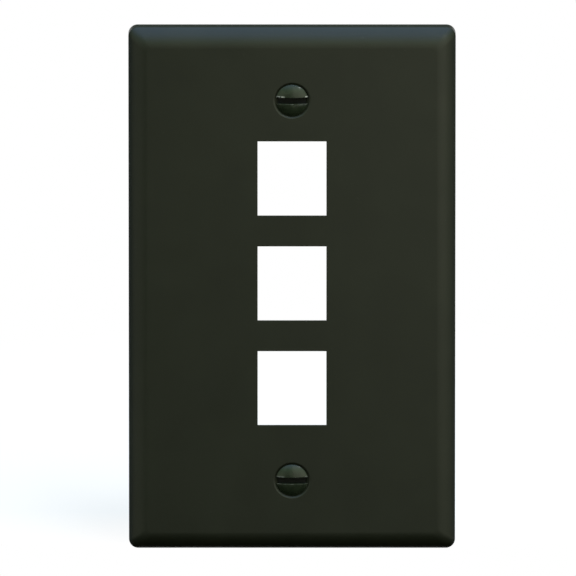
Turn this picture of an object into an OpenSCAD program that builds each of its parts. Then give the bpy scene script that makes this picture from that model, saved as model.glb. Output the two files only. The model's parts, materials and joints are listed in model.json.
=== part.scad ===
// Single-gang wall plate cover with three snap-in jack ports, two oval-head screws
// and the washers that keep the screws in the plate.
// Origin: centre of the wall plane, midway between the screws.
// +X to the right, +Y into the wall, +Z up. The front of the plate faces -Y.

/* [Plate] */
// Width of the plate
plate_w = 69.85; // [58:0.05:90]
// Height of the plate
plate_h = 114.3; // [105:0.05:145]
// Distance from the wall plane to the front face
plate_depth = 5.6; // [4.8:0.1:8]
// Radius of the plate's four outline corners
corner_r = 2; // [0.8:0.1:6]
// Radius of the four corners inside the rim
inner_corner_r = 1.2; // [0.4:0.1:4]
// Thickness of the front panel
face_t = 2.2; // [1.8:0.1:2.8]
// Thickness of the rim that stands on the wall
rim_t = 1.8; // [1.2:0.1:3]
// Width of the rolled edge, seen from the front
bevel_w = 4.2; // [2.5:0.1:6]
// How far the rolled edge falls back from the front face
bevel_drop = 2.6; // [1.2:0.1:3.2]

/* [Ports] */
// Width of a port opening
port_w = 14.7; // [12:0.1:17.7]
// Height of a port opening
port_h = 16.3; // [13:0.1:17]
// Thickness of the web between one port's latch pocket and the next one's hook pocket
port_web = 1.3; // [1:0.1:2]
// Height of the middle port's centre above the plate's centre
port_row_z = 1.6; // [0:0.1:2]
// Thickness of the housing's walls beside, above and below the ports
housing_wall = 1.8; // [1:0.1:2.4]
// Depth of the latch ledge behind the front face
latch_ledge = 4; // [3.2:0.1:4.8]
// Depth of the flat front edge of the latch ledge, before it slopes down
latch_land = 0.5; // [0.2:0.1:1.5]
// Slope of the latch ledge behind its flat edge, which a jack tips in over
latch_slope_angle = 16; // [0:1:25]
// Length of the latch pocket behind its ledge
latch_pocket_l = 4; // [3:0.1:5]
// How far the latch pocket drops below an opening
latch_drop = 3.9; // [3:0.1:4.5]
// How far the way in at the back drops below an opening, past the lip of the latch pocket
latch_entry = 2.4; // [1:0.1:2.5]
// Depth of the hook ledge behind the front face
hook_ledge = 6.5; // [5.5:0.1:7.5]
// Length of the hook pocket behind its ledge
hook_pocket_l = 1.5; // [1:0.1:2.5]
// How far the hook pocket rises above an opening
hook_rise = 1.5; // [1:0.1:2]
// Thickness of the lips that close the pockets at the back of the housing
lip_t = 1.7; // [1:0.1:2.5]

/* [Screws] */
// Distance between the two screws
screw_spacing = 83.34; // [81:0.01:100.5]
// Major diameter of the screw thread
thread_d = 3.5052; // [2.8:0.0001:4.2]
// Pitch of the screw thread
thread_pitch = 0.79375; // [0.6:0.00005:0.95]
// Length of a screw below the widest part of its head
screw_l = 25.4; // [19:0.1:50]
// Diameter of the plain neck between the head and the thread
neck_d = 2.9; // [2.3:0.1:3.1]
// Diameter of a screw head
head_d = 7; // [5.6:0.1:8]
// Height of the oval crown on a screw head
crown_h = 0.9; // [0.5:0.1:1.2]
// Included angle of the countersunk heads and their seats
countersink_angle = 82; // [80:1:90]
// Width of the screwdriver slot
slot_w = 1.35; // [0.9:0.05:1.6]
// Depth of the screwdriver slot
slot_depth = 1.4; // [0.8:0.1:1.6]
// Height of the bevelled point at the end of a screw
point_l = 0.5; // [0.2:0.1:1]

/* [Screw seats] */
// Diameter of the countersink at the front face
seat_d = 7.65; // [6.2:0.05:8.8]
// Radial clearance around the thread in the plate's screw hole
hole_clearance = 0.25; // [0.15:0.01:0.5]
// Thickness of the boss wall around a screw hole
boss_wall = 2.2; // [1.2:0.1:3]
// Gap between the back of a boss and the wall plane
boss_gap = 0.3; // [0.1:0.1:1]
// Clearance between a seated screw head and its countersink
seat_clearance = 0.05; // [0.02:0.01:0.1]

/* [Washers] */
// Outer diameter of a retaining washer
washer_d = 9.5; // [7.5:0.1:12]
// Thickness of a retaining washer
washer_t = 0.8; // [0.5:0.1:1.5]
// Depth of the groove that a washer sits in
groove_depth = 0.33; // [0.2:0.01:0.45]
// Radial clearance between a washer and its groove
washer_bore_clearance = 0.04; // [0.02:0.01:0.1]
// Clearance along the screw on each side of a washer
washer_side_clearance = 0.05; // [0.02:0.01:0.1]
// Whole turns that a screw backs out before its washer meets the boss
back_out_turns = 8; // [4:1:12]
// Gap that is left between washer and boss after those turns
washer_stop_gap = 0.15; // [0.05:0.01:0.5]
// Radial clearance between a washer and the housing beside its path
washer_path_clearance = 0.5; // [0.3:0.1:1]

/* [Ribs] */
// Thickness of the stiffening ribs
rib_t = 1.2; // [0.8:0.1:2]
// Gap between the back of a rib and the wall plane
rib_gap = 0.8; // [0.3:0.1:1.5]

/* [Hidden] */
$fn = 128;

// How far a cutter runs past the face that it opens
over = 1;
// How far two parts of one moulding run into each other
weld = 0.2;
port_count = 3;
port_pitch = port_h + latch_drop + hook_rise + port_web;

// The rolled edge is an arc that leaves the front face without a corner
bevel_r = (bevel_w * bevel_w + bevel_drop * bevel_drop) / (2 * bevel_drop);

// Heights above the wall plane, towards the room
panel_back = plate_depth - face_t;
panel_joint = panel_back + weld;
latch_top = plate_depth - latch_ledge;
latch_slope_drop = (latch_ledge - latch_land) * tan(latch_slope_angle);
hook_top = plate_depth - hook_ledge;
housing_back = min(latch_top - latch_pocket_l, hook_top - hook_pocket_l) - lip_t;

housing_w = port_w + 2 * housing_wall;
port_reach = (port_count - 1) / 2 * port_pitch + port_h / 2;
housing_top = port_row_z + port_reach + hook_rise + housing_wall;
housing_bottom = port_row_z - port_reach - latch_drop - housing_wall;

// Screw and seat
cone_slope = tan(countersink_angle / 2);
thread_r = thread_d / 2;
neck_r = neck_d / 2;
head_r = head_d / 2;
seat_r = seat_d / 2;
hole_r = thread_r + hole_clearance;
boss_r = hole_r + boss_wall;
head_sink = (seat_r - head_r - seat_clearance / cos(countersink_angle / 2)) / cone_slope;
head_edge = plate_depth - head_sink;
head_cone_h = (head_r - neck_r) / cone_slope;
crown_r = (head_r * head_r + crown_h * crown_h) / (2 * crown_h);
screw_tip = head_edge - screw_l;
slot_floor = head_edge + crown_h - slot_depth;

// Washer and its groove
travel = back_out_turns * thread_pitch;
washer_front = boss_gap - travel - washer_stop_gap;
groove_r = thread_r - groove_depth;
groove_top = washer_front + washer_side_clearance;
groove_bottom = washer_front - washer_t - washer_side_clearance;

screw_z = screw_spacing / 2;

// Stands what is drawn face up on the XY plane against the wall
module on_wall() {
    rotate([90, 0, 0]) children();
}

module rounded_rectangle(w, h, r) {
    square([w - 2 * r, h], center = true);
    square([w, h - 2 * r], center = true);
    for (sx = [-1, 1], sz = [-1, 1])
        translate([sx * (w / 2 - r), sz * (h / 2 - r)]) circle(r);
}

// Section across the plate: a flat top whose two edges roll down in arcs
module edge_profile(w) {
    flat = w / 2 - bevel_w;
    translate([-w / 2 - over, -over]) square([w + 2 * over, plate_depth - bevel_drop + over]);
    translate([-flat, -over]) square([2 * flat, plate_depth + over]);
    for (side = [-1, 1])
        intersection() {
            translate([side * flat, plate_depth - bevel_r]) circle(bevel_r);
            translate([side * (flat + (bevel_w + over) / 2), plate_depth / 2])
                square([bevel_w + over, plate_depth + over], center = true);
        }
}

// The outer form of the plate before it is hollowed
module plate_form() {
    intersection() {
        linear_extrude(plate_depth) rounded_rectangle(plate_w, plate_h, corner_r);
        rotate([90, 0, 0])
            linear_extrude(plate_h + 2 * over, center = true) edge_profile(plate_w);
        rotate([90, 0, 90])
            linear_extrude(plate_w + 2 * over, center = true) edge_profile(plate_h);
    }
}

module plate_hollow() {
    translate([0, 0, -over])
        linear_extrude(panel_back + over)
            rounded_rectangle(plate_w - 2 * rim_t, plate_h - 2 * rim_t, inner_corner_r);
}

module screw_places() {
    for (side = [-1, 1]) translate([0, side * screw_z, 0]) children();
}

module screw_bosses() {
    screw_places()
        translate([0, 0, boss_gap]) cylinder(r = boss_r, h = panel_joint - boss_gap);
}

// The block behind the ports, which leaves the washers' paths free
module port_housing() {
    difference() {
        translate([-housing_w / 2, housing_bottom, housing_back])
            cube([housing_w, housing_top - housing_bottom, panel_joint - housing_back]);
        screw_places()
            translate([0, 0, housing_back - over])
                cylinder(
                    d = washer_d + 2 * washer_path_clearance,
                    h = boss_gap - housing_back + over
                );
    }
}

// One rib along the plate's middle and one across between each pair of ports
module ribs() {
    rib_h = panel_joint - rib_gap;
    reach = 2 * (weld - rim_t);
    translate([0, 0, rib_gap + rib_h / 2])
        cube([rib_t, plate_h + reach, rib_h], center = true);
    for (gap = [1:port_count - 1])
        translate([0, port_row_z + (gap - port_count / 2) * port_pitch, rib_gap + rib_h / 2])
            cube([plate_w + reach, rib_t, rib_h], center = true);
}

// The wedge that slopes the latch ledge down towards its pocket
module latch_slope_cut() {
    rotate([90, 0, 90])
        linear_extrude(port_w, center = true)
            polygon([
                [-port_h / 2 + over, plate_depth - latch_land],
                [-port_h / 2, plate_depth - latch_land],
                [-port_h / 2 - latch_slope_drop, latch_top],
                [-port_h / 2 - latch_slope_drop, latch_top - over],
                [-port_h / 2 + over, latch_top - over]
            ]);
}

// An opening with the ledges that a snap-in jack hooks behind and latches to
module port_cut() {
    translate([-port_w / 2, -port_h / 2, housing_back - over])
        cube([port_w, port_h, plate_depth - housing_back + 2 * over]);
    translate([-port_w / 2, -port_h / 2 - latch_entry, housing_back - over])
        cube([port_w, latch_entry + over, latch_top - housing_back + over]);
    translate([-port_w / 2, -port_h / 2 - latch_drop, latch_top - latch_pocket_l])
        cube([port_w, latch_drop + over, latch_pocket_l]);
    translate([-port_w / 2, port_h / 2 - over, hook_top - hook_pocket_l])
        cube([port_w, hook_rise + over, hook_pocket_l]);
    latch_slope_cut();
}

module port_cuts() {
    for (row = [0:port_count - 1])
        translate([0, port_row_z + (row - (port_count - 1) / 2) * port_pitch, 0]) port_cut();
}

// A clearance hole and the countersink that the head sits in
module screw_hole_cuts() {
    seat_depth = (seat_r - hole_r) / cone_slope;
    screw_places() {
        translate([0, 0, -over]) cylinder(r = hole_r, h = plate_depth + 2 * over);
        translate([0, 0, plate_depth - seat_depth])
            cylinder(r1 = hole_r, r2 = seat_r + over * cone_slope, h = seat_depth + over);
    }
}

module faceplate() {
    color([0.16, 0.17, 0.14])
        on_wall()
            difference() {
                union() {
                    difference() {
                        plate_form();
                        plate_hollow();
                    }
                    screw_bosses();
                    port_housing();
                    ribs();
                }
                port_cuts();
                screw_hole_cuts();
            }
}

module screw_head() {
    difference() {
        union() {
            intersection() {
                translate([0, 0, head_edge + crown_h - crown_r]) sphere(crown_r);
                translate([0, 0, head_edge]) cylinder(r = head_r, h = crown_h + over);
            }
            translate([0, 0, head_edge - head_cone_h])
                cylinder(r1 = neck_r, r2 = head_r, h = head_cone_h);
        }
        translate([-head_d, -slot_w / 2, slot_floor])
            cube([2 * head_d, slot_w, slot_depth + over]);
    }
}

// The thread is plain at its major diameter, from the wall plane to the point
module screw_shank() {
    translate([0, 0, -over]) cylinder(r = neck_r, h = head_edge - head_cone_h + 2 * over);
    translate([0, 0, groove_top]) cylinder(r = thread_r, h = -groove_top);
    translate([0, 0, groove_bottom - over])
        cylinder(r = groove_r, h = groove_top - groove_bottom + 2 * over);
    translate([0, 0, screw_tip + point_l])
        cylinder(r = thread_r, h = groove_bottom - screw_tip - point_l);
    translate([0, 0, screw_tip]) cylinder(r1 = thread_r - point_l, r2 = thread_r, h = point_l);
}

module screw(side) {
    color([0.2, 0.22, 0.18])
        on_wall()
            translate([0, side * screw_z, 0]) {
                screw_head();
                screw_shank();
            }
}

module retainer(side) {
    color([0.45, 0.16, 0.12])
        on_wall()
            translate([0, side * screw_z, washer_front - washer_t])
                difference() {
                    cylinder(d = washer_d, h = washer_t);
                    translate([0, 0, -over])
                        cylinder(r = groove_r + washer_bore_clearance, h = washer_t + 2 * over);
                }
}

module upper_screw() {
    screw(1);
}

module lower_screw() {
    screw(-1);
}

module upper_screw_retainer() {
    retainer(1);
}

module lower_screw_retainer() {
    retainer(-1);
}

faceplate();
upper_screw();
lower_screw();
upper_screw_retainer();
lower_screw_retainer();
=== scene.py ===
"""Looks of a single-gang wall plate cover: the moulded plate, its screws and their washers."""
import json
import math

import bmesh
import bpy
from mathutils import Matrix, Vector

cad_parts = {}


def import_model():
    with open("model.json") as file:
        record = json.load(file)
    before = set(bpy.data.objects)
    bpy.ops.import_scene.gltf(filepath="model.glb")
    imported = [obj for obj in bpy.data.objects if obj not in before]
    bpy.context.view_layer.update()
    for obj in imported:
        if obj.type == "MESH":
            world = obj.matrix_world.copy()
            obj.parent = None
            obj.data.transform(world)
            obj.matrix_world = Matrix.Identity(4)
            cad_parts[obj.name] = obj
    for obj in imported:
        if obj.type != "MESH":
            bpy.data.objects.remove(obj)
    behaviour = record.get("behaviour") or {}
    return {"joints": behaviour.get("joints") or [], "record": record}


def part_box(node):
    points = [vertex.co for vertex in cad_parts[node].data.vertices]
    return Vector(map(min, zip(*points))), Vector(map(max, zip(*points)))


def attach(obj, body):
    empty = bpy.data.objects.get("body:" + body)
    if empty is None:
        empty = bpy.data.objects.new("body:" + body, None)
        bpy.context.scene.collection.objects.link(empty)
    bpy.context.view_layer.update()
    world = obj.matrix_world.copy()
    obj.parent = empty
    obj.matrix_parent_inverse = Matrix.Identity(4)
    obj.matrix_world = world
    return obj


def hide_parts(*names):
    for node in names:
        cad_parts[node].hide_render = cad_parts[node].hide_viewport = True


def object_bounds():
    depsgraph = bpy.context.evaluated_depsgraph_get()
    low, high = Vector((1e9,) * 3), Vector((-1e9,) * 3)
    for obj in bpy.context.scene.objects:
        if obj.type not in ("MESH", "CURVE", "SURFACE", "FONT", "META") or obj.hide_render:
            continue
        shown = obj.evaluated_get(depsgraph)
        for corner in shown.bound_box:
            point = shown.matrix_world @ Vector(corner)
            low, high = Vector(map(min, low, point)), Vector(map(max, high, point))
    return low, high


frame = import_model()
cad_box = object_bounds()

# Everything is modelled in millimetres, in the frame of the CAD model, and scaled to metres last.
MM = 0.001

# Plate, in millimetres. Its outer sizes come from the frame.
FACE_T = 2.2
RIM_T = 1.8
CORNER_R = 2.0
CORNER_R_FRONT = 0.9
INNER_CORNER_R = 1.2
BEVEL_W = 4.2
BEVEL_DROP = 2.6
EDGE_FILLET = 0.35
ROLL_STEPS = 18
FILLET_STEPS = 5
CORNER_STEPS = 10

# How far a shape reaches into the one it joins, and how far a cutter reaches past what it cuts
WELD = 0.2
OVER = 1.0
# Points nearer to each other than this are merged, before and after the edges are rounded
SEAM = 0.03
FINE_SEAM = 0.003
FLAT_ANGLE = math.radians(0.3)

# Rounding and shading of edges
SOFT_EDGE = 0.1
SOFT_EDGE_STEPS = 2
SHARP_EDGE = math.radians(35)
PLATE_CREASE = math.radians(40)
SCREW_CREASE = math.radians(35)
WASHER_CREASE = math.radians(30)

# Ports
PORT_W = 14.7
PORT_H = 16.3
HOUSING_WALL = 1.8
LATCH_LEDGE = 4.0
LATCH_LAND = 0.5
LATCH_SLOPE = math.tan(math.radians(16))
LATCH_POCKET_L = 4.0
LATCH_DROP = 3.9
LATCH_ENTRY = 2.4
HOOK_LEDGE = 6.5
HOOK_POCKET_L = 1.5
HOOK_RISE = 1.5
LEAD_IN = 0.6

# Bosses, ribs and the marks that ejector pins leave
BOSS_GAP = 0.3
BOSS_WALL = 2.2
HOLE_CLEARANCE = 0.25
RIB_T = 1.2
RIB_GAP = 0.8
PIN_MARK_R = 1.6
PIN_MARK_DEPTH = 0.15
PIN_MARK_X = 22.0
PIN_MARK_Z = 40.0

# Screws. With 64 facets a point of the head's rim would fall almost on the slot's side.
SCREW_FACETS = 72
THREAD_R = 1.7526
THREAD_ROOT_R = 1.32
THREAD_PITCH = 0.79375
THREAD_STEPS = 14
# Shares of half a pitch that the thread's root and its flank take up
ROOT_SHARE = 0.25
FLANK_SHARE = 0.6
# The neck, its blend into the head's cone, and where it ends, just before the thread's first row
NECK_R = 1.45
NECK_BLEND_R = 0.12
NECK_BLEND_BEFORE = 0.14
NECK_BLEND_AFTER = 0.1
NECK_END = -0.02
HEAD_R = 3.5
SEAT_R = 3.825
CONE_HALF_ANGLE = math.radians(82) / 2
CONE_SLOPE = math.tan(CONE_HALF_ANGLE)
SEAT_CLEARANCE = 0.05
SEAT_LIP_R = 0.5
SEAT_LIP_STEPS = 5
CROWN_STEPS = 16
CROWN_POWER = 2.8
SLOT_W = 1.35
SLOT_DEPTH = 1.4
SLOT_LIP = 0.09
RIM_SHARE = 0.35
RIM_NEARNESS = 0.01
POINT_L = 0.5
POINT_INSET = 0.05
POINT_SHOULDER = 0.4
GROOVE_R = 1.4226
GROOVE_SIDE_CLEARANCE = 0.05

# Washers
WASHER_BORE_R = 1.4626
WASHER_CHAMFER = 0.12

# Facets of the washers, holes and bosses, and of the pin marks
ROUND_FACETS = 96
PIN_MARK_FACETS = 72


def millimetres(corner):
    return Vector(corner) / MM


plate_low, plate_high = map(millimetres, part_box("faceplate"))
screw_low, screw_high = map(millimetres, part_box("upper_screw"))
washer_low, washer_high = map(millimetres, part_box("upper_screw_retainer"))
record = frame["record"]
mounts = {m["name"]: millimetres(m["pos_m"]) for m in record["mounts"]}
port_zs = [mounts[name].z for name in ("port_upper", "port_middle", "port_lower")]
turn_joints = {j["child"]: j for j in frame["joints"] if j["type"] == "hinge"}
screw_z = {side: millimetres(turn_joints[side + "_fastener"]["pos_m"]).z
           for side in ("upper", "lower")}

FRONT = plate_low.y
HOUSING_BACK = plate_high.y
PANEL_BACK = FRONT + FACE_T
PANEL_JOINT = PANEL_BACK - WELD
PLATE_W = plate_high.x - plate_low.x
PLATE_H = plate_high.z - plate_low.z
DEPTH = -FRONT
TIP = screw_high.y
HEAD_EDGE = FRONT + (SEAT_R - HEAD_R - SEAT_CLEARANCE / math.cos(CONE_HALF_ANGLE)) / CONE_SLOPE
CROWN_H = HEAD_EDGE - screw_low.y
GROOVE_START = washer_low.y - GROOVE_SIDE_CLEARANCE
GROOVE_END = washer_high.y + GROOVE_SIDE_CLEARANCE
HOLE_R = THREAD_R + HOLE_CLEARANCE


# ---------------------------------------------------------------- mesh helpers

def object_from(bm, name):
    bmesh.ops.recalc_face_normals(bm, faces=bm.faces)
    mesh = bpy.data.meshes.new(name)
    bm.to_mesh(mesh)
    bm.free()
    obj = bpy.data.objects.new(name, mesh)
    bpy.context.scene.collection.objects.link(obj)
    return obj


def loft(rings, name):
    """A closed solid through rings of equally many points, with a flat cap on each end."""
    bm = bmesh.new()
    rows = [[bm.verts.new(p) for p in ring] for ring in rings]
    for row, following in zip(rows, rows[1:]):
        for i in range(len(row)):
            j = (i + 1) % len(row)
            bm.faces.new((row[i], row[j], following[j], following[i]))
    bm.faces.new(rows[0])
    bm.faces.new(list(reversed(rows[-1])))
    return object_from(bm, name)


def revolved(profile, name, steps, radius_at=None):
    """A solid turned about the Y axis from points (radius, y), closed at both ends."""
    rings = []
    for radius, y in profile:
        ring = []
        for k in range(steps):
            turn = math.tau * k / steps
            r = radius_at(radius, y, turn) if radius_at else radius
            ring.append((r * math.sin(turn), y, r * math.cos(turn)))
        rings.append(ring)
    return loft(rings, name)


def block(low, high, name):
    ring = [(low[0], low[2]), (high[0], low[2]), (high[0], high[2]), (low[0], high[2])]
    return loft([[(x, y, z) for x, z in ring] for y in (low[1], high[1])], name)


def extruded_across(outline, half_width, name):
    """An outline of (y, z) points drawn out along X."""
    return loft([[(x, y, z) for y, z in outline] for x in (-half_width, half_width)], name)


def settle(obj):
    """Applies an object's modifiers to its mesh."""
    graph = bpy.context.evaluated_depsgraph_get()
    mesh = bpy.data.meshes.new_from_object(obj.evaluated_get(graph))
    obj.modifiers.clear()
    obj.data = mesh
    return obj


def combine(target, tool, operation):
    modifier = target.modifiers.new("join", "BOOLEAN")
    modifier.operation = operation
    modifier.solver = "EXACT"
    modifier.object = tool
    settle(target)
    bpy.data.objects.remove(tool)
    return target


def soften(obj, width, share_at):
    """Rounds each edge by a share of the width, which may be none."""
    bm = bmesh.new()
    bm.from_mesh(obj.data)
    weight = bm.edges.layers.float.new("bevel_weight_edge")
    for edge in bm.edges:
        edge[weight] = share_at(edge)
    bm.to_mesh(obj.data)
    bm.free()
    modifier = obj.modifiers.new("soften", "BEVEL")
    modifier.width = width
    modifier.segments = SOFT_EDGE_STEPS
    modifier.limit_method = "WEIGHT"
    modifier.miter_outer = "MITER_ARC"
    modifier.use_clamp_overlap = False
    return settle(obj)


def flatten_seams(obj, nearest):
    """Merges points that nearly meet, and neighbouring faces that lie in one plane."""
    bm = bmesh.new()
    bm.from_mesh(obj.data)
    bmesh.ops.remove_doubles(bm, verts=bm.verts, dist=nearest)
    bmesh.ops.dissolve_degenerate(bm, edges=bm.edges, dist=nearest)
    bmesh.ops.dissolve_limit(bm, angle_limit=FLAT_ANGLE, verts=bm.verts, edges=bm.edges)
    bm.to_mesh(obj.data)
    bm.free()


def shade(obj, angle):
    """Smooths the shading, but for creases sharper than the angle."""
    obj.data.shade_smooth()
    obj.data.set_sharp_from_angle(angle=angle)
    modifier = obj.modifiers.new("normals", "WEIGHTED_NORMAL")
    modifier.keep_sharp = True
    return obj


def moved(obj, x=0.0, z=0.0):
    for vertex in obj.data.vertices:
        vertex.co += Vector((x, 0.0, z))
    return obj


def to_metres(obj):
    for vertex in obj.data.vertices:
        vertex.co *= MM
    return obj


# ---------------------------------------------------------------- faceplate

def rounded_rectangle(width, height, radius, y):
    points = []
    for quarter, (sx, sz) in enumerate(((1, 1), (-1, 1), (-1, -1), (1, -1))):
        centre_x = sx * (width / 2 - radius)
        centre_z = sz * (height / 2 - radius)
        for k in range(CORNER_STEPS + 1):
            turn = math.pi / 2 * (quarter + k / CORNER_STEPS)
            points.append((centre_x + radius * math.cos(turn), y,
                           centre_z + radius * math.sin(turn)))
    return points


def edge_section():
    """(inset, height) points up the side wall, round a small fillet and over the rolled edge."""
    roll_r = (BEVEL_W ** 2 + BEVEL_DROP ** 2) / (2 * BEVEL_DROP)
    roll_height = DEPTH - roll_r
    fillet_height = roll_height + math.sqrt(
        (roll_r - EDGE_FILLET) ** 2 - (BEVEL_W - EDGE_FILLET) ** 2)
    meeting = math.atan2(BEVEL_W - EDGE_FILLET, fillet_height - roll_height)
    section = [(0, 0)]
    for k in range(FILLET_STEPS):
        tilt = math.pi / 2 + (meeting - math.pi / 2) * k / FILLET_STEPS
        section.append((EDGE_FILLET * (1 - math.sin(tilt)),
                        fillet_height + EDGE_FILLET * math.cos(tilt)))
    for k in range(ROLL_STEPS + 1):
        tilt = meeting * (1 - k / ROLL_STEPS)
        section.append((BEVEL_W - roll_r * math.sin(tilt), roll_height + roll_r * math.cos(tilt)))
    return section


def plate_shell():
    rings = []
    for inset, height in edge_section():
        radius = CORNER_R + (CORNER_R_FRONT - CORNER_R) * inset / BEVEL_W
        rings.append(rounded_rectangle(PLATE_W - 2 * inset, PLATE_H - 2 * inset, radius, -height))
    shell = loft(rings, "faceplate_moulding")
    inside = [rounded_rectangle(PLATE_W - 2 * RIM_T, PLATE_H - 2 * RIM_T, INNER_CORNER_R, y)
              for y in (OVER, PANEL_BACK)]
    return combine(shell, loft(inside, "hollow"), "DIFFERENCE")


def port_housing():
    top = port_zs[0] + PORT_H / 2 + HOOK_RISE + HOUSING_WALL
    bottom = port_zs[-1] - PORT_H / 2 - LATCH_DROP - HOUSING_WALL
    half = PORT_W / 2 + HOUSING_WALL
    return block((-half, PANEL_JOINT, bottom), (half, HOUSING_BACK, top), "housing")


def screw_boss(z):
    boss_r = HOLE_R + BOSS_WALL
    boss = revolved([(boss_r, PANEL_JOINT), (boss_r, -BOSS_GAP)], "boss", ROUND_FACETS)
    return moved(boss, z=z)


def rib_blocks():
    reach_x = PLATE_W / 2 - RIM_T + WELD
    reach_z = PLATE_H / 2 - RIM_T + WELD
    half = RIB_T / 2
    ribs = [block((-half, PANEL_JOINT, -reach_z), (half, -RIB_GAP, reach_z), "rib")]
    for above, below in zip(port_zs, port_zs[1:]):
        z = (above + below) / 2
        ribs.append(block((-reach_x, PANEL_JOINT, z - half), (reach_x, -RIB_GAP, z + half), "rib"))
    return ribs


def port_cutter(z):
    """The way through one port, with the ledges for a jack's latch below and hook above."""
    latch = FRONT + LATCH_LEDGE
    hook = FRONT + HOOK_LEDGE
    low, high = z - PORT_H / 2, z + PORT_H / 2
    entry = low - LATCH_ENTRY
    back = HOUSING_BACK + OVER
    outline = [
        (FRONT - OVER, low),
        (FRONT + LATCH_LAND, low),
        (latch, low - (LATCH_LEDGE - LATCH_LAND) * LATCH_SLOPE),
        (latch, low - LATCH_DROP),
        (latch + LATCH_POCKET_L, low - LATCH_DROP),
        (latch + LATCH_POCKET_L, entry),
        (HOUSING_BACK - LEAD_IN, entry),
        (back, entry - LEAD_IN - OVER),
        (back, high + LEAD_IN + OVER),
        (HOUSING_BACK - LEAD_IN, high),
        (hook + HOOK_POCKET_L, high),
        (hook + HOOK_POCKET_L, high + HOOK_RISE),
        (hook, high + HOOK_RISE),
        (hook, high),
        (FRONT - OVER, high),
    ]
    return extruded_across(outline, PORT_W / 2, "port")


def screw_hole_cutter(z):
    """A clearance hole with a countersink, whose lip at the front face is rounded."""
    turning = math.pi / 2 - CONE_HALF_ANGLE
    lip_reach = SEAT_R + SEAT_LIP_R * math.tan(turning / 2)
    profile = [(lip_reach, FRONT - OVER)]
    for k in range(SEAT_LIP_STEPS + 1):
        tilt = turning * k / SEAT_LIP_STEPS
        profile.append((lip_reach - SEAT_LIP_R * math.sin(tilt),
                        FRONT + SEAT_LIP_R * (1 - math.cos(tilt))))
    seat_depth = (SEAT_R - HOLE_R) / CONE_SLOPE
    profile += [(HOLE_R, FRONT + seat_depth), (HOLE_R, OVER)]
    return moved(revolved(profile, "screw_hole", ROUND_FACETS), z=z)


def pin_marks():
    profile = [(PIN_MARK_R, PANEL_BACK - PIN_MARK_DEPTH), (PIN_MARK_R, PANEL_BACK + OVER)]
    marks = []
    for x in (-PIN_MARK_X, PIN_MARK_X):
        for z in (-PIN_MARK_Z, port_zs[1], PIN_MARK_Z):
            mark = revolved(profile, "pin_mark", PIN_MARK_FACETS)
            marks.append(moved(mark, x, z))
    return marks


def is_sharp(edge):
    return edge.calc_face_angle(0.0) > SHARP_EDGE


def outer_corner(edge):
    """All for an edge that stands out, and none for one that lies in."""
    return 1.0 if edge.is_convex and is_sharp(edge) else 0.0


def faceplate():
    plate = plate_shell()
    for z in screw_z.values():
        combine(plate, screw_boss(z), "UNION")
    combine(plate, port_housing(), "UNION")
    for rib in rib_blocks():
        combine(plate, rib, "UNION")
    for z in port_zs:
        combine(plate, port_cutter(z), "DIFFERENCE")
    for z in screw_z.values():
        combine(plate, screw_hole_cutter(z), "DIFFERENCE")
    for mark in pin_marks():
        combine(plate, mark, "DIFFERENCE")
    flatten_seams(plate, SEAM)
    soften(plate, SOFT_EDGE, outer_corner)
    flatten_seams(plate, FINE_SEAM)
    shade(plate, PLATE_CREASE)
    return to_metres(plate)


# ---------------------------------------------------------------- screws

def thread_radius(radius, y, turn):
    """A right-hand thread on the rows that are cut to the thread's full radius."""
    if radius != THREAD_R:
        return radius
    phase = (y / THREAD_PITCH - turn / math.tau) % 1
    flank = min(max((abs(phase - 0.5) * 2 - ROOT_SHARE) / FLANK_SHARE, 0), 1)
    cut = THREAD_ROOT_R + (THREAD_R - THREAD_ROOT_R) * flank
    ends = (y, GROOVE_START - y if y < GROOVE_START else y - GROOVE_END, TIP - POINT_L - y)
    share = min(max(min(ends) / THREAD_PITCH, 0), 1)
    return NECK_R + (cut - NECK_R) * share


def screw_profile():
    """(radius, y) points from the middle of the crown to the point of the screw."""
    points = []
    for k in range(1, CROWN_STEPS + 1):
        share = k / CROWN_STEPS
        points.append((HEAD_R * share, HEAD_EDGE - CROWN_H * (1 - share ** CROWN_POWER)))
    cone_end = HEAD_EDGE + (HEAD_R - NECK_R) / CONE_SLOPE
    points += [(NECK_R + NECK_BLEND_R, cone_end - NECK_BLEND_BEFORE),
               (NECK_R, cone_end + NECK_BLEND_AFTER), (NECK_R, NECK_END)]
    rows = int((TIP - POINT_L) * THREAD_STEPS / THREAD_PITCH)
    for k in range(rows + 1):
        y = (TIP - POINT_L) * k / rows
        points.append((GROOVE_R if GROOVE_START < y < GROOVE_END else THREAD_R, y))
    points += [(THREAD_ROOT_R - POINT_INSET, TIP - POINT_L * POINT_SHOULDER),
               (THREAD_R - POINT_L - POINT_INSET, TIP)]
    return points


def head_edge(edge):
    """All for the lips of the slot, less for the rim of the head, and none for the thread."""
    if not is_sharp(edge) or any(vertex.co.y > HEAD_EDGE + SLOT_DEPTH for vertex in edge.verts):
        return 0.0
    on_rim = all(math.hypot(vertex.co.x, vertex.co.z) > HEAD_R - RIM_NEARNESS
                 for vertex in edge.verts)
    return RIM_SHARE if on_rim else 1.0


def screw(side):
    body = revolved(screw_profile(), side + "_screw_turned", SCREW_FACETS, thread_radius)
    crown_top = HEAD_EDGE - CROWN_H
    slot = block((-HEAD_R - OVER, crown_top - OVER, -SLOT_W / 2),
                 (HEAD_R + OVER, crown_top + SLOT_DEPTH, SLOT_W / 2), "slot")
    combine(body, slot, "DIFFERENCE")
    soften(body, SLOT_LIP, head_edge)
    moved(body, z=screw_z[side])
    shade(body, SCREW_CREASE)
    return to_metres(body)


# ---------------------------------------------------------------- washers

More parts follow.
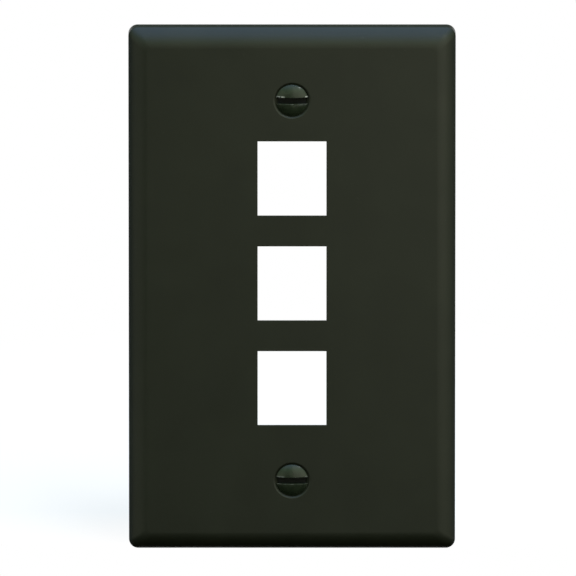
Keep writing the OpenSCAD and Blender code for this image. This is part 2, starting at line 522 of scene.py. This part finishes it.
def washer(side):
    """A ring with a small chamfer on each of its four edges."""
    outer_r = (washer_high.x - washer_low.x) / 2
    front, back = washer_low.y, washer_high.y
    chamfer = WASHER_CHAMFER
    section = [
        (outer_r - chamfer, front), (outer_r, front + chamfer),
        (outer_r, back - chamfer), (outer_r - chamfer, back),
        (WASHER_BORE_R + chamfer, back), (WASHER_BORE_R, back - chamfer),
        (WASHER_BORE_R, front + chamfer), (WASHER_BORE_R + chamfer, front),
    ]
    bm = bmesh.new()
    rows = []
    for k in range(ROUND_FACETS):
        turn = math.tau * k / ROUND_FACETS
        rows.append([bm.verts.new((r * math.sin(turn), y, r * math.cos(turn)))
                     for r, y in section])
    for k in range(ROUND_FACETS):
        row, following = rows[k], rows[(k + 1) % ROUND_FACETS]
        for i in range(len(section)):
            j = (i + 1) % len(section)
            bm.faces.new((row[i], row[j], following[j], following[i]))
    obj = moved(object_from(bm, side + "_fibre_washer"), z=screw_z[side])
    shade(obj, WASHER_CREASE)
    return to_metres(obj)


# ---------------------------------------------------------------- materials

# Ranges of a noise's value that are drawn out: its middle, and nearly all of it
MIDDLE = (0.35, 0.65)
WIDE = (0.3, 0.7)
# How well the rounded and the true normal agree where an edge is worn most, and not at all
EDGE_TURN = (0.75, 0.97)
# Widths of the rubbed edges, in millimetres
PLASTIC_RUB_W = 0.3
PAINT_RUB_W = 0.12
# Heights of the surfaces' bumps, in millimetres
WAVE_H = 0.03
GRAIN_H = 0.006
PEEL_H = 0.003
FIBRE_H = 0.02
PAINT_ROUGHNESS = 0.21
# Roughness where the slot and the gap round the head are darkened with painted shade
PAINTED_SHADE_ROUGHNESS = 0.90
ZINC_ROUGHNESS = 0.27

PLASTIC_DARK = (0.0100, 0.0114, 0.0064, 1)
PLASTIC_LIGHT = (0.0124, 0.0140, 0.0080, 1)
PLASTIC_GRAIN = (0.018, 0.019, 0.014, 1)
PLASTIC_SPECK = (0.028, 0.029, 0.024, 1)
PLASTIC_RUBBED = (0.018, 0.019, 0.015, 1)
PAINT_DARK = (0.012, 0.017, 0.010, 1)
PAINT_LIGHT = (0.018, 0.024, 0.014, 1)
# Painted shade: the near black colour of the slot and the gap round the head
PAINTED_SHADE = (0.002, 0.002, 0.002, 1)
ZINC_DARK = (0.52, 0.54, 0.56, 1)
ZINC_LIGHT = (0.66, 0.67, 0.66, 1)
FIBRE_DARK = (0.24, 0.055, 0.035, 1)
FIBRE_LIGHT = (0.36, 0.100, 0.065, 1)
FIBRE_BLOTCH = (0.20, 0.045, 0.03, 1)

# Wear that a driver leaves on the slot's lips, in millimetres: between which distances from the
# slot it fades, and between which places it fades along the lip above and the lip below the slot
WEAR_STRIP = (0.2, 0.4)
WEAR_LEFT = (-1.9, -1.5)
WEAR_RIGHT = (2.75, 2.95)
WEAR_BELOW = (1.0, 1.6)
WEAR_BELOW_SHARE = 0.05
ABOVE_SLOT = (0.0, 0.01)
BELOW_SLOT = (-0.01, 0.0)
WEAR_PATCHES = (0.34, 0.46)
SLOT_WEAR = {"upper": 0.9, "lower": 0.12}

# The share of a screw's cone that is painted, the paint's ragged edge there, and how far past the
# head's rim the painted shade in the slot and the gap round the head grows to full, in millimetres
PAINT_SHARE = 0.75
PAINT_RAGGED = 0.2
PAINT_FADE = 0.1
CROWN_FADE = 0.1
PAINTED_SHADE_DEPTH = 0.3


class Nodes:
    """A short way to write a node tree."""

    def __init__(self, tree):
        self.tree = tree
        tree.nodes.clear()

    def add(self, kind, links=None, **values):
        node = self.tree.nodes.new(kind)
        for name, value in values.items():
            setattr(node, name, value)
        for name, value in (links or {}).items():
            self.feed(node.inputs[name], value)
        return node

    def feed(self, socket, value):
        if isinstance(value, bpy.types.NodeSocket):
            self.tree.links.new(value, socket)
        else:
            socket.default_value = value

    def noise(self, where, scale, detail=3.0, roughness=0.55):
        node = self.add("ShaderNodeTexNoise", {
            "Vector": where, "Scale": scale, "Detail": detail, "Roughness": roughness})
        return node.outputs[0]

    def spread(self, value, low, high, to_low, to_high):
        node = self.add("ShaderNodeMapRange", {
            0: value, 1: low, 2: high, 3: to_low, 4: to_high}, clamp=True)
        return node.outputs[0]

    def blend(self, factor, first, second):
        node = self.add("ShaderNodeMix", data_type="RGBA")
        self.feed(node.inputs[0], factor)
        self.feed(node.inputs[6], first)
        self.feed(node.inputs[7], second)
        return node.outputs[2]

    def maths(self, operation, first, second=0.0, third=0.0):
        node = self.add("ShaderNodeMath", {0: first, 1: second, 2: third}, operation=operation)
        return node.outputs[0]

    def bump(self, height, distance, onto=None):
        links = {"Height": height, "Distance": distance, "Strength": 1.0}
        if onto is not None:
            links["Normal"] = onto
        return self.add("ShaderNodeBump", links).outputs["Normal"]

    def place(self):
        return self.add("ShaderNodeTexCoord").outputs["Object"]

    def surface(self, **sockets):
        links = {name.replace("_", " ").title(): value for name, value in sockets.items()}
        shader = self.add("ShaderNodeBsdfPrincipled", links)
        self.add("ShaderNodeOutputMaterial", {"Surface": shader.outputs[0]})
        return shader


def new_material(name):
    material = bpy.data.materials.new(name)
    material.use_nodes = True
    return material, Nodes(material.node_tree)


def edge_wear(n, radius, ragged):
    """1 on edges that stand out, broken up by a noise, and 0 on flat surfaces."""
    rounded = n.add("ShaderNodeBevel", {"Radius": radius}, samples=4).outputs[0]
    true = n.add("ShaderNodeNewGeometry").outputs["Normal"]
    agreement = n.add("ShaderNodeVectorMath", {0: rounded, 1: true}, operation="DOT_PRODUCT")
    worn = n.spread(agreement.outputs["Value"], *EDGE_TURN, 1.0, 0.0)
    return n.maths("MULTIPLY", worn, ragged)


def moulded_plastic():
    """Olive black thermoplastic with a fine satin grain, and rubbed smoother on its edges."""
    material, n = new_material("moulded_plastic")
    place = n.place()
    clouds = n.noise(place, 90.0, 3.0)
    grain = n.noise(place, 3200.0, 2.0)
    specks = n.noise(place, 900.0, 2.0)
    tone = n.blend(n.spread(clouds, *MIDDLE, 0.0, 1.0), PLASTIC_DARK, PLASTIC_LIGHT)
    tone = n.blend(n.spread(grain, *WIDE, 0.0, 0.35), tone, PLASTIC_GRAIN)
    tone = n.blend(n.spread(specks, 0.72, 0.76, 0.0, 0.5), tone, PLASTIC_SPECK)
    ragged = n.spread(n.noise(place, 420.0, 4.0), 0.4, 0.6, 0.2, 1.0)
    rubbed = edge_wear(n, PLASTIC_RUB_W * MM, ragged)
    tone = n.blend(n.maths("MULTIPLY", rubbed, 0.5), tone, PLASTIC_RUBBED)
    satin = n.spread(n.noise(place, 160.0, 4.0), *WIDE, 0.37, 0.43)
    grained = n.maths("ADD", satin, n.spread(grain, *WIDE, -0.03, 0.03))
    roughness = n.maths("MULTIPLY_ADD", rubbed, -0.08, grained)
    waves = n.bump(clouds, WAVE_H * MM)
    normal = n.bump(grain, GRAIN_H * MM, waves)
    n.surface(base_color=tone, roughness=roughness, normal=normal)
    return material


def metres(low_high):
    """A range in metres from one in millimetres."""
    return [value * MM for value in low_high]


def driver_wear(n, axes, side, patches):
    """How bare the lips of the slot are where a driver has pressed: most at the upper left, a
    little at the upper right and faintly at the lower right."""
    above = n.maths("SUBTRACT", axes["Z"], screw_z[side] * MM)
    from_edge = n.maths("SUBTRACT", n.maths("ABSOLUTE", above), SLOT_W / 2 * MM)
    strip = n.spread(from_edge, *metres(WEAR_STRIP), 1.0, 0.0)
    left = n.spread(axes["X"], *metres(WEAR_LEFT), 1.0, 0.0)
    right = n.spread(axes["X"], *metres(WEAR_RIGHT), 0.0, 1.0)
    upper = n.maths("MULTIPLY", n.maths("MAXIMUM", left, right),
                    n.spread(above, *metres(ABOVE_SLOT), 0.0, 1.0))
    lower = n.maths("MULTIPLY", n.spread(axes["X"], *metres(WEAR_BELOW), 0.0, WEAR_BELOW_SHARE),
                    n.spread(above, *metres(BELOW_SLOT), 1.0, 0.0))
    return n.maths("MULTIPLY", n.maths("MULTIPLY", strip, n.maths("MAXIMUM", upper, lower)),
                   n.spread(patches, *WEAR_PATCHES, 0.0, SLOT_WEAR[side]))


def painted_screw(side):
    """Steel: a head painted to match the plate, worn at the slot, on a zinc plated shank. The slot
    and the gap round the head are darkened with painted shade.
    """
    material, n = new_material(side + "_painted_screw")
    place = n.place()
    axes = n.add("ShaderNodeSeparateXYZ", {0: place}).outputs
    peel = n.noise(place, 2600.0, 2.0)
    patches = n.noise(place, 1100.0, 4.0)
    paint_end = HEAD_EDGE + (HEAD_R - NECK_R) / CONE_SLOPE * PAINT_SHARE
    ragged = n.maths("ADD", axes["Y"],
                     n.spread(patches, *WIDE, -PAINT_RAGGED * MM, PAINT_RAGGED * MM))
    paint_edge = metres((paint_end - PAINT_FADE, paint_end + PAINT_FADE))
    shank = n.spread(ragged, *paint_edge, 0.0, 1.0)
    on_crown = n.spread(axes["Y"], *metres((HEAD_EDGE - CROWN_FADE, HEAD_EDGE)), 1.0, 0.0)
    rubbed = edge_wear(n, PAINT_RUB_W * MM, n.spread(patches, 0.45, 0.62, 0.0, 0.6))
    worn = n.maths("MAXIMUM", rubbed, driver_wear(n, axes, side, patches))
    bare = n.maths("MAXIMUM", shank, n.maths("MULTIPLY", worn, on_crown))
    paint = n.blend(n.spread(patches, *MIDDLE, 0.0, 1.0), PAINT_DARK, PAINT_LIGHT)
    # Painted shade: past the head's rim, in the slot and the gap round the head, the paint turns
    # near black and dull
    painted_shade_edge = metres((HEAD_EDGE - CROWN_FADE, HEAD_EDGE + PAINTED_SHADE_DEPTH))
    painted_shade = n.spread(axes["Y"], *painted_shade_edge, 0.0, 1.0)
    paint = n.blend(painted_shade, paint, PAINTED_SHADE)
    zinc = n.blend(n.spread(patches, *WIDE, 0.0, 1.0), ZINC_DARK, ZINC_LIGHT)
    tone = n.blend(bare, paint, zinc)
    dull = n.spread(painted_shade, 0.0, 1.0, PAINT_ROUGHNESS, PAINTED_SHADE_ROUGHNESS)
    smoother = ZINC_ROUGHNESS - PAINTED_SHADE_ROUGHNESS
    roughness = n.maths("ADD", n.maths("MULTIPLY_ADD", shank, smoother, dull),
                        n.spread(patches, *WIDE, -0.04, 0.04))
    normal = n.bump(peel, PEEL_H * MM)
    n.surface(base_color=tone, metallic=bare, roughness=roughness, normal=normal)
    return material


def vulcanised_fibre():
    """Dull red brown fibre board, with fibres that run one way and darker blotches."""
    material, n = new_material("vulcanised_fibre")
    place = n.place()
    stretched = n.add("ShaderNodeMapping", {"Vector": place, "Scale": (1.0, 3.0, 0.35)})
    fibres = n.noise(stretched.outputs[0], 4200.0, 5.0, 0.7)
    blotches = n.noise(place, 500.0, 3.0)
    tone = n.blend(n.spread(fibres, *MIDDLE, 0.0, 1.0), FIBRE_DARK, FIBRE_LIGHT)
    tone = n.blend(n.spread(blotches, 0.45, 0.75, 0.0, 0.5), tone, FIBRE_BLOTCH)
    roughness = n.spread(fibres, *WIDE, 0.68, 0.85)
    normal = n.bump(fibres, FIBRE_H * MM)
    n.surface(base_color=tone, roughness=roughness, normal=normal)
    return material


# ---------------------------------------------------------------- stage, light and camera

# Everything from here on is in metres.
WHITE = (1, 1, 1, 1)
BLACK = (0, 0, 0, 1)

# Floor: how far it reaches behind and beside the plate and in front of it, and its soft shadow
FLOOR_REACH = 1.0
FLOOR_LIP = 0.003
FLOOR_MATT = (0.8, 0.8, 0.8, 1)
FLOOR_MIRRORED = (0.06, 0.06, 0.06, 1)
FLOOR_SHADOW = 0.3
SHADOW_START = 0.03
SHADOW_FADE = (0.05, 0.20)

# What the object mirrors. Each range is one of a direction's X, Y or Z, between which it fades.
FLAG_DEPTH = 0.95
FLAG_BACK = (-0.10, 0.25)
FLAG_TOP = (0.45, 0.90)
AHEAD_DEPTH = 0.7
AHEAD_SIDE = (0.25, 0.60)
AHEAD_TOP = (0.0, 0.35)
# The mirrored backdrop's edge is the cosine of its angle from straight behind the plate
BACKDROP_EDGE = (0.64, 0.72)
BACKDROP_TOP = (0.02, 0.10)
# The studio's light: height, red, green, blue
SKY = [(-1.0, 0.0, 0.0, 0.0), (-0.55, 0.0, 0.0, 0.0), (-0.35, 0.12, 0.12, 0.09),
       (-0.22, 0.55, 0.56, 0.43), (0.12, 0.48, 0.53, 0.38), (0.45, 0.36, 0.54, 0.33),
       (0.73, 0.58, 0.86, 1.05), (0.92, 0.70, 1.06, 1.62), (1.0, 0.66, 0.98, 1.40)]

# Camera: a long lens, which shows next to no perspective
ELEVATION = math.radians(13.2)
LENS = 1500.0
SENSOR = 36.0
CLIP_NEAR = 0.05
CLIP_FAR = 50.0
# Width of the picture at the object, and where the picture's centre lies beside and above it
VIEW_WIDTH = 0.12322
AIM_RIGHT = -0.00086
AIM_UP = -0.00064


def floor():
    z = cad_box[0].z
    corners = [(-FLOOR_REACH, -FLOOR_LIP), (FLOOR_REACH, -FLOOR_LIP),
               (FLOOR_REACH, FLOOR_REACH), (-FLOOR_REACH, FLOOR_REACH)]
    bm = bmesh.new()
    bm.faces.new([bm.verts.new((x, y, z)) for x, y in corners])
    obj = object_from(bm, "floor")
    obj.data.materials.append(pale_floor())
    return obj


def pale_floor():
    """White to the camera, but for the object's soft shadow at its foot. In reflections it is
    dark, apart from the white backdrop that stands behind the plate."""
    material, n = new_material("pale_floor")
    place = n.place()
    path = n.add("ShaderNodeLightPath")
    across = n.add("ShaderNodeVectorMath", {0: place, 1: (1.0, 1.0, 0.0)}, operation="MULTIPLY")
    distance = n.add("ShaderNodeVectorMath", {0: across.outputs[0]}, operation="LENGTH")
    axes = n.add("ShaderNodeSeparateXYZ", {0: place})
    behind = n.spread(axes.outputs["Y"], 0.0, SHADOW_START, 0.0, 1.0)
    near = n.spread(distance.outputs["Value"], *SHADOW_FADE, FLOOR_SHADOW, 0.0)
    shown = n.maths("SUBTRACT", 1.0, n.maths("MULTIPLY", near, behind))
    seen = n.maths("MAXIMUM", path.outputs["Is Camera Ray"], path.outputs["Is Transmission Ray"])
    straight_back = n.maths("DIVIDE", axes.outputs["Y"], distance.outputs["Value"])
    backdrop = n.spread(straight_back, *BACKDROP_EDGE, 0.0, 1.0)
    glossy = path.outputs["Is Glossy Ray"]
    mirrored = n.maths("MULTIPLY", glossy, backdrop)
    glow = n.maths("MAXIMUM", n.maths("MULTIPLY", seen, shown), mirrored)
    colour = n.blend(glossy, FLOOR_MATT, FLOOR_MIRRORED)
    matt = n.add("ShaderNodeBsdfDiffuse", {"Color": colour})
    light = n.add("ShaderNodeEmission", {"Color": WHITE, "Strength": 1.0})
    mix = n.add("ShaderNodeMixShader", {0: glow, 1: matt.outputs[0], 2: light.outputs[0]})
    n.add("ShaderNodeOutputMaterial", {"Surface": mix.outputs[0]})
    return material


def sky(n, height):
    """The studio's light by height: black below, a grey room, and a cool ceiling."""
    ramp = n.add("ShaderNodeValToRGB", {0: n.spread(height, -1.0, 1.0, 0.0, 1.0)})
    elements = ramp.color_ramp.elements
    while len(elements) < len(SKY):
        elements.new(0.5)
    for element, (level, red, green, blue) in zip(elements, SKY):
        element.position = (level + 1) / 2
        element.color = (red, green, blue, 1)
    return ramp.outputs[0]


def world():
    """White where the camera sees it, and a soft studio for everything else. In reflections a
    white backdrop stands low behind the plate, between dark flags."""
    scene_world = bpy.data.worlds.new("studio")
    scene_world.use_nodes = True
    bpy.context.scene.world = scene_world
    n = Nodes(scene_world.node_tree)
    direction = n.add("ShaderNodeTexCoord").outputs["Generated"]
    axes = n.add("ShaderNodeSeparateXYZ", {0: direction}).outputs
    path = n.add("ShaderNodeLightPath").outputs
    flags = n.maths("MULTIPLY", n.spread(axes["Y"], *FLAG_BACK, 0.0, FLAG_DEPTH),
                    n.spread(axes["Z"], *FLAG_TOP, 1.0, 0.0))
    mirrored_flags = n.maths("MULTIPLY", flags, path["Is Glossy Ray"])
    sideways = n.maths("ABSOLUTE", axes["X"])
    ahead = n.maths("MULTIPLY", n.spread(sideways, *AHEAD_SIDE, AHEAD_DEPTH, 0.0),
                    n.spread(axes["Z"], *AHEAD_TOP, 1.0, 0.0))
    studio = n.blend(n.maths("MAXIMUM", mirrored_flags, ahead), sky(n, axes["Z"]), BLACK)
    backdrop = n.maths("MULTIPLY", n.spread(axes["Y"], *BACKDROP_EDGE, 0.0, 1.0),
                       n.spread(axes["Z"], *BACKDROP_TOP, 1.0, 0.0))
    seen = n.maths("MAXIMUM", path["Is Camera Ray"], path["Is Transmission Ray"])
    mirrored = n.maths("MULTIPLY", path["Is Glossy Ray"], backdrop)
    colour = n.blend(n.maths("MAXIMUM", seen, mirrored), studio, WHITE)
    background = n.add("ShaderNodeBackground", {"Color": colour, "Strength": 1.0})
    n.add("ShaderNodeOutputWorld", {"Surface": background.outputs[0]})


def lamp(name, place, aim, size, watts, colour):
    data = bpy.data.lights.new(name, "AREA")
    data.shape = "RECTANGLE"
    data.size, data.size_y = size
    data.energy = watts
    data.color = colour
    obj = bpy.data.objects.new(name, data)
    bpy.context.scene.collection.objects.link(obj)
    obj.location = place
    obj.rotation_euler = (Vector(aim) - Vector(place)).to_track_quat("-Z", "Y").to_euler()
    obj.visible_camera = False
    return obj


def lamps():
    """A diffused key and a fill from behind, a wide panel that the face mirrors, and a small
    lamp for glints."""
    key = lamp("key", (0.175, -0.25, 0.574), (0, 0, 0.02), (0.3, 0.3), 4.0, (1.0, 1.0, 0.94))
    fill = lamp("back fill", (-0.25, 0.50, 0.35), (0, 0, 0), (0.4, 0.4), 1.3, (1.0, 1.0, 0.97))
    for soft in (key, fill):
        soft.visible_glossy = False
    lamp("front panel", (0.26, -0.30, 0.122), (0.26, 0, 0.122), (0.50, 0.435), 0.40,
         (1.0, 1.0, 0.80))
    lamp("glint", (0.286, -0.373, 0.421), (0, 0, 0.04), (0.035, 0.035), 0.13, (1.0, 1.0, 1.0))


def camera():
    data = bpy.data.cameras.new("camera")
    data.lens = LENS
    data.sensor_width = SENSOR
    data.clip_start = CLIP_NEAR
    data.clip_end = CLIP_FAR
    obj = bpy.data.objects.new("camera", data)
    bpy.context.scene.collection.objects.link(obj)
    back = Vector((0, -math.cos(ELEVATION), math.sin(ELEVATION)))
    up = Vector((0, math.sin(ELEVATION), math.cos(ELEVATION)))
    aim = Vector((AIM_RIGHT, 0, 0)) + up * AIM_UP
    obj.location = aim + back * (VIEW_WIDTH * LENS / SENSOR)
    obj.rotation_euler = (-back).to_track_quat("-Z", "Y").to_euler()
    bpy.context.scene.camera = obj


# ---------------------------------------------------------------- the object

def dress(obj, material, body, node):
    obj.data.materials.clear()
    obj.data.materials.append(material)
    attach(obj, body)
    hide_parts(node)


def build():
    dress(faceplate(), moulded_plastic(), "plate", "faceplate")
    fibre = vulcanised_fibre()
    for side in screw_z:
        steel = painted_screw(side)
        dress(screw(side), steel, side + "_fastener", side + "_screw")
        dress(washer(side), fibre, side + "_washer", side + "_screw_retainer")


bpy.context.scene.view_settings.view_transform = "Standard"
build()
floor()
world()
lamps()
camera()
